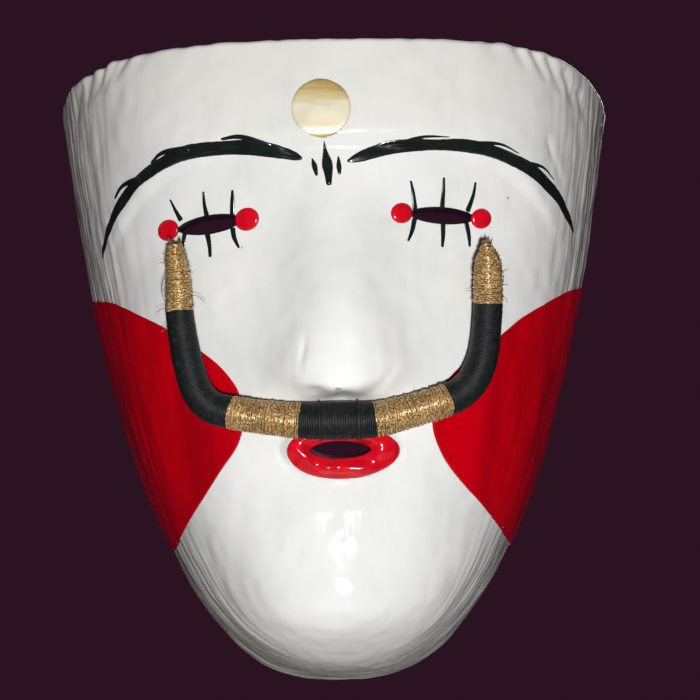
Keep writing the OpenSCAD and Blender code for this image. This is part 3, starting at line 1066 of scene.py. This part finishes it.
fibre = plant_fibre()
HAIR_LOOPS = {
    "left": [
        [(-42.6, -65, -23.4), (-41.2, -66, -23), (-39.8, -66.5, -23.1), (-37.6, -66.5, -25)],
        [(-48.8, -65, -26.2), (-50.2, -65.5, -26.6), (-51.8, -65.5, -27.6)],
        [(-49.2, -64.5, -17), (-50, -65, -19), (-50.2, -65, -22), (-49.6, -64.5, -24)],
        [(-48.6, -65, -31), (-49.6, -65.5, -32.4), (-50.4, -65.5, -33.2)],
        [(-49.4, -64, -13.4), (-50.3, -64.5, -13.2), (-50.8, -64.5, -13.6)],
    ],
    "right": [
        [(46.6, -65, -22), (47.6, -65.5, -20.4), (47.8, -65.5, -18.2)],
        [(40.2, -65, -18.6), (39.2, -65.5, -17.2), (39.4, -65.5, -15.6)],
        [(33, -69, -49), (34.4, -69.5, -47.2), (36.4, -69.5, -46.8), (37.2, -69, -48)],
        [(46.9, -65, -24.5), (48.2, -65.5, -25.2), (48.6, -65.5, -26.6)],
    ],
}
for side, place, inner in (("left", 0, 0.1), ("right", ROUTE_END, ROUTE_END - 0.1)):
    dice = random.Random(5 + place)
    tip = route_point(place).xyz
    heading = (route_point(place) - route_point(inner)).xyz.normalized()
    tufts = []
    for _ in range(26 if side == "left" else 6):
        spin, reach = dice.uniform(0, 2 * math.pi), 1.7 * dice.random() ** 0.5
        out = Vector((math.cos(spin), math.sin(spin), 0))
        start = tip + reach * out - 0.8 * heading
        bend = Vector([dice.uniform(-0.5, 0.5) for _ in range(3)])
        length = dice.uniform(0.4, 1.7) if side == "left" else dice.uniform(0.1, 0.7)
        end = start + (0.8 + length) * heading + 0.35 * reach * out + bend
        middle = (start + end) / 2 + 0.3 * bend
        tufts.append([(start, 1), (middle, 0.9), (end, 0.5)])
    hairs = []
    for loop in HAIR_LOOPS[side]:
        hairs.append([(along(loop, i / 14), 1 - 0.4 * i / 14) for i in range(15)])
    for _ in range(16):
        where = dice.uniform(0.4, 2.8) if side == "left" else dice.uniform(19.2, 21.6)
        spin = dice.uniform(0, 2 * math.pi)
        root = on_binding(where, spin, 0.4)
        away = (root - route_point(where).xyz).normalized()
        lean = Vector([dice.uniform(-1, 1) for _ in range(3)])
        knee = root + 0.8 * away + 0.5 * lean
        hairs.append([(root, 1), (knee, 0.9), (knee + 0.5 * away + 0.9 * lean, 0.5)])
    loose_fibres = join(strands(tufts, 0.34), strands(hairs, 0.22))
    make_piece("fibre_tuft_" + side, loose_fibres, "plant_fibre", fibre)


# ---- Lashings and hidden core ----
# Two turns of waxed black thread hold the moustache against the upper lip, each knotted
# behind it; inside the binding run the fibre bundle and its soft steel wire.


def annealed_wire():
    """Soft iron wire, grey-black from the fire it was annealed in."""
    material, tree, coords = start_material("annealed_iron_wire")
    scale = noise_of(tree, coords, 1.2, 3.0)
    surface = add_node(
        tree,
        "BsdfPrincipled",
        {
            "Base Color": ramp(tree, scale, [(0.35, "#3B3B3D"), (0.65, "#6A6A6C")]),
            "Metallic": 1.0,
            "Roughness": spread(tree, scale, 0.3, 0.7, 0.6, 0.4),
        },
    )
    finish_material(tree, surface)
    return material


def refinish(node, material):
    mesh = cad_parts[node].data
    mesh.materials.clear()
    mesh.materials.append(material)


refinish("moustache_wire", annealed_wire())
refinish("moustache_fibres", fibre)

STEPS_PER_TURN = 28
LASHING_Y, LASHING_RADIUS = -68.5, 5.5
KNOT_Y, KNOT_RADIUS = -48.8, 1.8


def circle_round(x, radius, turns, centre, drift):
    """Turns of thread round a line along X at this y, drifting along it each turn."""
    path = []
    for i in range(turns * STEPS_PER_TURN + 1):
        share = i / STEPS_PER_TURN
        y = centre + radius * math.cos(2 * math.pi * share)
        z = LASHING_Z + radius * math.sin(2 * math.pi * share)
        path.append((Vector((x + drift * share, y, z)), 1))
    return path


for side, x in zip(("left", "right"), LASHINGS_X):
    loops = circle_round(x - 0.2, LASHING_RADIUS, 2, LASHING_Y, 0.22)
    knot = circle_round(x - 0.7, KNOT_RADIUS - 0.3, 4, KNOT_Y, 0.35)
    stems = []
    for shift in (-0.28, 0.28):
        stem_from = Vector((x + shift, LASHING_Y + LASHING_RADIUS - 0.3, LASHING_Z))
        stems.append([(stem_from, 1), (Vector((x + shift, KNOT_Y + 0.4, LASHING_Z)), 1)])
    tie = strands([loops, knot, *stems], 0.5)
    ball = bmesh.new()
    ball_radius = 0.001 * (KNOT_RADIUS - 0.3)
    bmesh.ops.create_uvsphere(ball, u_segments=20, v_segments=12, radius=ball_radius)
    bmesh.ops.translate(ball, verts=ball.verts, vec=0.001 * Vector((x, KNOT_Y, LASHING_Z)))
    lashing = make_piece("lashing_thread_" + side, join(tie, ball), "waxed_thread", thread_black)
    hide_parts("lashing_" + side)


# ---- Stage ----
# A pale table top below the hanging mask, a dark plain room behind it and white lamps.

cad_low = cad_box[0]


def lamp(name, place, target, size, power):
    light = bpy.data.lights.new(name, "AREA")
    light.shape = "DISK"
    light.size = size
    light.energy = power
    holder = bpy.data.objects.new(name, light)
    holder.location = place
    holder.rotation_euler = (Vector(target) - Vector(place)).to_track_quat("-Z", "Y").to_euler()
    bpy.context.scene.collection.objects.link(holder)


lamp("lamp_front", (0.014, -0.47, -0.07), (0, 0, -0.06), 0.022, 2.0)
lamp("lamp_left", (-1.0, -0.25, 0.45), (0, 0, -0.05), 0.7, 0.16)
lamp("lamp_right", (1.0, -0.25, 0.45), (0, 0, -0.05), 0.7, 0.16)
lamp("lamp_back", (0.3, 1.0, 0.5), (0, 0, -0.05), 0.7, 2.4)

world = bpy.data.worlds.new("room")
world.use_nodes = True
world.node_tree.nodes["Background"].inputs["Color"].default_value = colour("#2B1322")
world.node_tree.nodes["Background"].inputs["Strength"].default_value = 1.0
bpy.context.scene.world = world
bpy.context.scene.view_settings.view_transform = "Standard"


def pale_table():
    material, tree, coords = start_material("pale_matt_board")
    pale = ramp(tree, noise_of(tree, coords, 300), [(0.3, "#D9D7D2"), (0.7, "#DEDCD8")])
    surface = add_node(
        tree,
        "BsdfPrincipled",
        {
            "Base Color": pale,
            "Roughness": 0.8,
        },
    )
    finish_material(tree, surface)
    return material


table_top = cad_low.z - 0.06
table = bmesh.new()
bmesh.ops.create_cone(
    table, cap_ends=True, segments=96, radius1=0.17, radius2=0.17, depth=0.014
)
bmesh.ops.translate(table, verts=table.verts, vec=(0, -0.035, table_top - 0.007))
rim = [e for e in table.edges if min(v.co.z for v in e.verts) > table_top - 0.001]
bmesh.ops.bevel(
    table, geom=rim, offset=0.003, segments=3, profile=0.5, affect="EDGES", material=-1
)
floor_mesh = bpy.data.meshes.new("table_top")
table.to_mesh(floor_mesh)
table.free()
floor = bpy.data.objects.new("table_top", floor_mesh)
floor_mesh.materials.append(pale_table())
bpy.context.scene.collection.objects.link(floor)

camera_data = bpy.data.cameras.new("camera")
camera_data.sensor_width = 36
camera_data.lens = 56.57
camera_data.shift_x = 12 / 700
camera = bpy.data.objects.new("camera", camera_data)
camera.location = (0, -0.380, -0.0392)
camera.rotation_euler = (math.radians(90), math.radians(1), 0)
bpy.context.scene.collection.objects.link(camera)
bpy.context.scene.camera = camera
